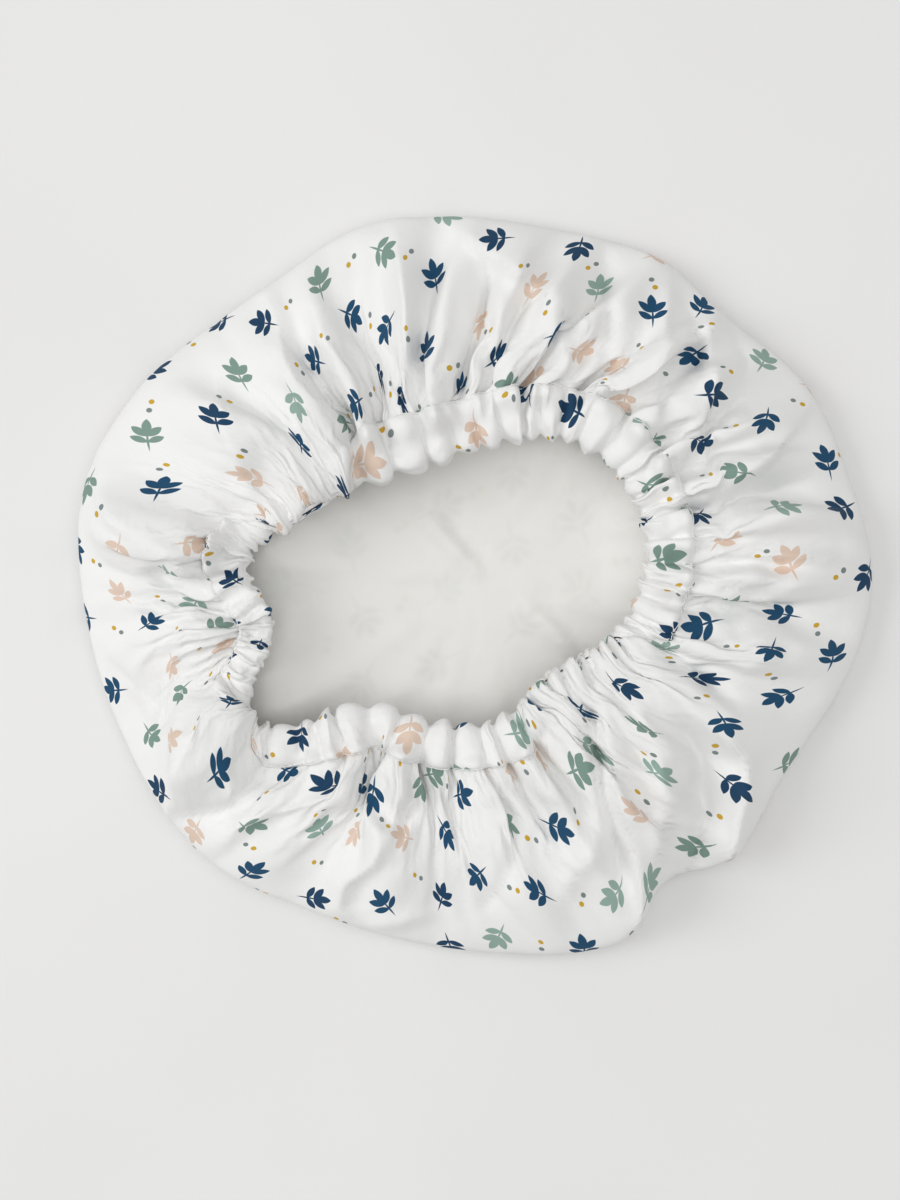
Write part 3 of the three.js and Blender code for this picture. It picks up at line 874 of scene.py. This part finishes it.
# Way of the strip from its upper edge round the elastic to its lower edge: into the opening and
# up from the middle of the elastic, on a full lobe and in the crease between two lobes
FULL_WAY = [
    (-0.0125, -0.0002), (-0.0118, 0.0046), (-0.0070, 0.0092), (0.0020, 0.0098), (0.0092, 0.0066),
    (0.0118, 0.0004), (0.0094, -0.0052), (0.0025, -0.0072), (-0.0060, -0.0070),
    (-0.0115, -0.0044), (-0.0125, -0.0018),
]
CREASE_WAY = [
    (-0.0125, -0.0002), (-0.0105, 0.0008), (-0.0060, 0.0020), (0.0025, 0.0022), (0.0062, 0.0014),
    (0.0072, 0.0000), (0.0062, -0.0014), (0.0025, -0.0024), (-0.0060, -0.0022),
    (-0.0105, -0.0018), (-0.0125, -0.0018),
]
# How the strip varies round the opening: bearings in degrees, with its size, and with how much
# further out it is sewn on than elsewhere
STRIP_SIZE = [(168, 1), (194, 0.75), (203, 0.73), (209, 1)]
SEAM_REACH = [(0, 1.15), (55, 1.3), (121, 1.4), (129, 1), (280, 1), (305, 1.15), (360, 1.15)]


def strip_way(points, across):
    """A smooth way through the points, by the share of the strip's width."""
    points = np.asarray(points)
    lengths = np.linalg.norm(np.diff(points, axis=0), axis=1)
    places = np.concatenate([[0], np.cumsum(lengths)]) / lengths.sum()
    fine = np.linspace(0, 1, 241)
    line = np.stack([np.interp(fine, places, points[:, k]) for k in (0, 1)], -1)
    for _ in range(60):
        line[1:-1] += 0.5 * ((line[:-2] + line[2:]) / 2 - line[1:-1])
    return np.stack([np.interp(across, fine, line[:, k]) for k in (0, 1)], -1)


def crown_under(x, y):
    """Where the crown lies at a place in plan, or nothing beside it."""
    return crown_top.ray_cast(Vector((x, y, ABOVE_ALL)), Vector((0, 0, -1)))[0]


strip_columns = GATHERS * LOBE_STEPS
grid_along, grid_across = (axis.ravel() for axis in np.meshgrid(
    np.linspace(0, 1, strip_columns + 1), np.linspace(0, 1, STRIP_STEPS + 1)
))
bpy.ops.object.select_all(action="DESELECT")
bpy.ops.mesh.primitive_grid_add(x_subdivisions=strip_columns, y_subdivisions=STRIP_STEPS)
casing = bpy.context.object
casing.name = casing.data.name = "casing_strip"
lay_uv(casing, np.stack([grid_along, grid_across], -1))
ends_meet = np.stack([np.mod(grid_along, 1.0), grid_across, np.zeros_like(grid_along)], -1)
ring = np.stack([np.cos(TURN * grid_along), np.sin(TURN * grid_along), grid_across], -1)
keeper = casing.data.attributes.new("place", "FLOAT_VECTOR", "POINT")
keeper.data.foreach_set("vector", ends_meet.ravel())
casing.data.vertices.foreach_set("co", ring.ravel())
bpy.ops.object.mode_set(mode="EDIT")
bpy.ops.mesh.select_all(action="SELECT")
bpy.ops.mesh.remove_doubles(threshold=1e-6)
bpy.ops.object.mode_set(mode="OBJECT")
strip_along, strip_across, _ = mesh_values(casing.data.attributes["place"].data, "vector").T

gather = np.interp(strip_along, np.arange(GATHERS + 1) / GATHERS, np.arange(GATHERS + 1))
lobe = np.clip(np.floor(gather), 0, GATHERS - 1).astype(int)
within = gather - lobe
lobe_slant = chance.uniform(-LOBE_SLANT, LOBE_SLANT, GATHERS)
lobe_lean = chance.uniform(-LOBE_LEAN, LOBE_LEAN, GATHERS)
lobe_lean += 0.2 * np.sin(3 * gather_bearings + 0.5)
fullness = np.abs(np.sin(math.pi * within)) ** LOBE_ROUNDNESS * gather_sizes[lobe]
loop_place = np.interp(gather, np.arange(GATHERS + 1), gather_edges)
strip_bearing = share_bearing(loop_place)
full = strip_way(FULL_WAY, strip_across)
creased = strip_way(CREASE_WAY, strip_across)
strip_turn = STRIP_ROLL * casing_roll(strip_bearing)
fullness = np.maximum(fullness, ROLLED_FULLNESS * np.sin(strip_turn))
section = creased + (full - creased) * fullness[:, None]
section *= np.interp(np.degrees(strip_bearing), *zip(*STRIP_SIZE))[:, None]
seam_reach = np.interp(np.degrees(strip_bearing), *zip(*SEAM_REACH))
seam_reach *= np.interp(strip_turn, [0, ROLL_FADE], [1, ROLLED_SEAM])
section[:, 0] *= np.where(section[:, 0] < 0, seam_reach, 1)
strip_middle = elastic_line(strip_bearing)
strip_inward = elastic_inward(strip_bearing)
seam_edge = strip_middle[:, :2] + strip_inward * (FULL_WAY[0][0] * seam_reach)[:, None]
crown_heights = np.array([crown_under(x, y).z for x, y in seam_edge])
lift = np.clip(crown_heights - strip_middle[:, 2], *LIFT_LIMITS)
lift *= np.interp(strip_turn, [0, ROLL_FADE], [1, 0])
section[:, 1] += lift * np.clip((LIFT_START - section[:, 0]) / LIFT_FADE, 0, 1)
section = np.stack([
    section[:, 0] * np.cos(strip_turn) + section[:, 1] * np.sin(strip_turn),
    section[:, 1] * np.cos(strip_turn) - section[:, 0] * np.sin(strip_turn),
], -1)
tangent = np.stack([strip_inward[:, 1], -strip_inward[:, 0]], -1)
slant = lobe_slant[lobe] * np.cos(math.pi * strip_across) + lobe_lean[lobe]
held_edge = np.minimum(strip_across, 1 - strip_across) < NEAR_ROW
sway = LOBE_SWAY * fullness * slant * ~held_edge
strip_start = strip_middle.copy()
strip_start[:, :2] += strip_inward * section[:, :1] + tangent * sway[:, None]
strip_start[:, 2] += section[:, 1]
over_hem = (strip_across < HEM_SHARE) & (strip_turn < UNROLLED) & ~held_edge
for index in np.nonzero(over_hem)[0]:
    x, y, height = strip_start[index]
    hem_top = crown_under(x, y)
    if hem_top:
        strip_start[index, 2] = max(height, hem_top.z + HEM_COVER)
casing.data.vertices.foreach_set("co", (strip_start * SIM_SCALE).ravel())
strip_flat = np.stack([
    np.cos(TURN * strip_along) * STRIP_LENGTH / TURN,
    np.sin(TURN * strip_along) * STRIP_LENGTH / TURN,
    strip_across * STRIP_WIDTH,
], -1)

CORE_COLUMNS = 240
CORE_SIDES = 10
CORE_HALF = (0.0046, 0.0026)  # room for the elastic inside the channel
bpy.ops.mesh.primitive_torus_add(major_segments=CORE_COLUMNS, minor_segments=CORE_SIDES)
core = bpy.context.object
core_bearing = np.repeat(share_bearing(np.arange(CORE_COLUMNS) / CORE_COLUMNS), CORE_SIDES)
core_turn = np.tile(np.arange(CORE_SIDES) / CORE_SIDES * TURN, CORE_COLUMNS)
core_points = elastic_line(core_bearing)
core_points[:, :2] -= elastic_inward(core_bearing) * (np.cos(core_turn) * CORE_HALF[0])[:, None]
core_points[:, 2] += np.sin(core_turn) * CORE_HALF[1]
core.data.vertices.foreach_set("co", (core_points * SIM_SCALE).ravel())
let_settle(casing, strip_flat, held_edge * 1.0, core, spacing=0.006, frames=12)
strip_settled = mesh_values(casing.data.vertices, "co")
bpy.ops.object.mode_set(mode="EDIT")
bpy.ops.mesh.select_all(action="SELECT")
bpy.ops.mesh.normals_make_consistent(inside=False)
bpy.ops.object.mode_set(mode="OBJECT")
bpy.ops.object.shade_smooth()
apply_modifier(casing, "SUBSURF", levels=1, render_levels=1)
apply_modifier(casing, "SOLIDIFY", thickness=COTTON, offset=-1)

strip_cotton = Finish("casing_cotton", roughness=0.85)
strip_uv = strip_cotton.node("SeparateXYZ", {}, {
    "vector": strip_cotton.node("UVMap", {"uv_map": "cut"}, {}),
})
strip_place = (strip_uv * STRIP_LENGTH, strip_uv.other("Y") * STRIP_WIDTH)
strip_cotton.show(base_color=printed_colour(strip_cotton, *strip_place, COTTON_WHITE))
strip_cotton.show(normal=gathered_bump(strip_cotton, *strip_place))
casing.data.materials.append(strip_cotton.material)

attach(casing, "root")
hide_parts("elastic_casing")


# Seam threads
# One row of white lockstitches goes through the strip and both cloths all round, with the needle
# thread above and the bobbin thread below.
STITCH = 0.0026  # length
THREAD = 0.00045  # thickness
SEAM_ACROSS = 1 / STRIP_STEPS
# A stitch dips into the cloth at both ends: places along it, and heights in threads
STITCH_PLACES = [0.08, 0.25, 0.5, 0.75, 0.92]
STITCH_HEIGHTS = [-0.5, 0.5, 0.7, 0.5, -0.5]

thread = Finish("sewing_thread", base_color=(*linear(244, 244, 242), 1), roughness=0.55)
thread_place = thread.node("TexCoord", {}, {}).other("Object")
plies = thread.node("TexNoise", {}, {"vector": thread_place, "scale": 2500.0, "detail": 1.0})
thread.show(normal=thread.node("Bump", {}, {"height": plies, "distance": 0.0001}))


def stitched_row(name, across, replaced):
    row = np.nonzero(np.abs(strip_across - across) < NEAR_ROW)[0]
    line = strip_settled[row[np.argsort(strip_along[row])]]
    line = np.concatenate([line, line[:1]])
    row_walk = np.concatenate([[0], np.cumsum(np.linalg.norm(np.diff(line, axis=0), axis=1))])
    count = int(row_walk[-1] / STITCH)
    places = (np.arange(count)[:, None] + STITCH_PLACES) / count * row_walk[-1]
    points = np.stack([np.interp(places.ravel(), row_walk, line[:, k]) for k in range(3)], -1)
    side = 1 if across < 0.5 else -1
    points[:, 2] += side * (np.tile(STITCH_HEIGHTS, count) * THREAD)
    data = bpy.data.curves.new(name, "CURVE")
    data.dimensions = "3D"
    spline = data.splines.new("POLY")
    spline.points.add(len(points) - 1)
    spline.points.foreach_set("co", np.c_[points, np.ones(len(points))].ravel())
    spline.use_cyclic_u = True
    data.bevel_depth = THREAD / 2
    data.bevel_resolution = 1
    piece = bpy.data.objects.new(name, data)
    scene.collection.objects.link(piece)
    bpy.ops.object.select_all(action="DESELECT")
    piece.select_set(True)
    bpy.context.view_layer.objects.active = piece
    bpy.ops.object.convert(target="MESH")
    bpy.ops.object.shade_smooth()
    piece.data.materials.append(thread.material)
    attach(piece, "root")
    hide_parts(replaced)


stitched_row("needle_stitches", SEAM_ACROSS, "casing_needle_thread")
stitched_row("bobbin_stitches", 1 - SEAM_ACROSS, "casing_bobbin_thread")
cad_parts["elastic_join_thread"].data.materials.clear()
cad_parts["elastic_join_thread"].data.materials.append(thread.material)


# Elastic
# A flat band of ribbed white webbing, lapped on itself and joined with a zigzag of thread. It
# runs loose inside the channel of the casing and shows nowhere.
RIBS = 480  # round the whole band
webbing = Finish("elastic_webbing", base_color=(*linear(240, 240, 236), 1))
rib_place = webbing.node(
    "SeparateXYZ", {}, {"vector": webbing.node("TexCoord", {}, {}).other("Object")},
)
rib_bearing = (rib_place.other("Y") - float(hub[1])).math("ARCTAN2", rib_place - float(hub[0]))
ribs = (rib_bearing * RIBS).math("SINE")
webbing.show(roughness=0.8 - ribs * 0.08)
webbing.show(normal=webbing.node("Bump", {}, {"height": ribs, "distance": 0.0002}))
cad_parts["elastic_band"].data.materials.clear()
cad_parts["elastic_band"].data.materials.append(webbing.material)
